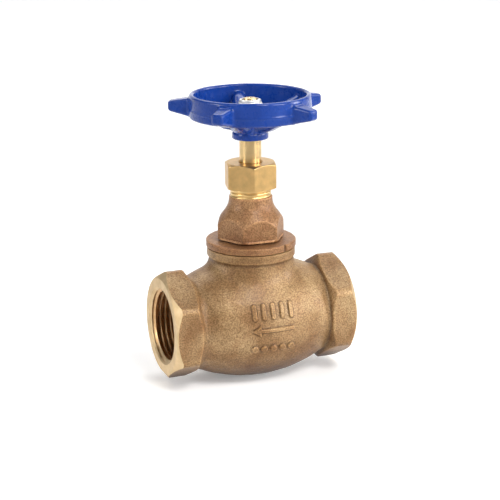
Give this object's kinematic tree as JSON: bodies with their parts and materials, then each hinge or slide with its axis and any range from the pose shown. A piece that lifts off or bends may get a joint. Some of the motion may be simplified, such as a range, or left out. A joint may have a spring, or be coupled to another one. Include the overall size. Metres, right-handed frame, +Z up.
{
  "type": "globe valve",
  "caption": "Screwed bronze globe valve with hexagon pipe ends, screw-in bonnet, packed rising stem and a lobed blue handwheel.",
  "frame": {"origin": "point where the pipe axis crosses the stem axis, inside the body", "axes": "+X along the pipe towards the inlet, +Z up the stem, +Y towards the back; the flow runs from +X to -X"},
  "size_m": [0.0844, 0.0677, 0.1265],
  "materials": {
    "cast_bronze": "sand-cast gunmetal bronze, fine matt grain, brighter where machined",
    "brass": "turned brass, satin to polished",
    "blue_enamel": "glossy blue stoving enamel over a casting",
    "zinc_steel": "zinc plated steel",
    "gasket_fibre": "compressed fibre sheet",
    "packing": "braided packing cord",
    "ptfe": "white PTFE",
    "nylon": "dark nylon locking ring"
  },
  "bodies": {
    "valve_body": {"body": "cast_bronze", "bonnet": "cast_bronze", "bonnet_gasket": "gasket_fibre", "gland_nut": "brass", "gland_follower": "brass", "packing_washer": "brass", "packing_ring_1": "packing", "packing_ring_2": "packing", "packing_ring_3": "packing", "packing_ring_4": "packing"},
    "disc_assembly": {"disc_holder": "brass", "seat_disc": "ptfe", "disc_washer": "brass", "disc_nut": "brass", "lock_nut": "brass"},
    "stem_and_wheel": {"stem": "brass", "handwheel": "blue_enamel", "wheel_washer": "zinc_steel", "wheel_nut": "zinc_steel", "wheel_nut_insert": "nylon"}
  },
  "joints": [
    {"name": "stem_lift", "type": "slide", "parent": "valve_body", "child": "disc_assembly", "axis": [0, 0, 1], "range_m": [-0.00825, 0]},
    {"name": "wheel_turn", "type": "hinge", "parent": "disc_assembly", "child": "stem_and_wheel", "pos_m": [0, 0, 0.05], "axis": [0, 0, 1], "range_deg": [-990, 0]}
  ],
  "couplings": [
    {"joint": "stem_lift", "follows": "wheel_turn", "m_per_rad": 0.00047746}
  ]
}
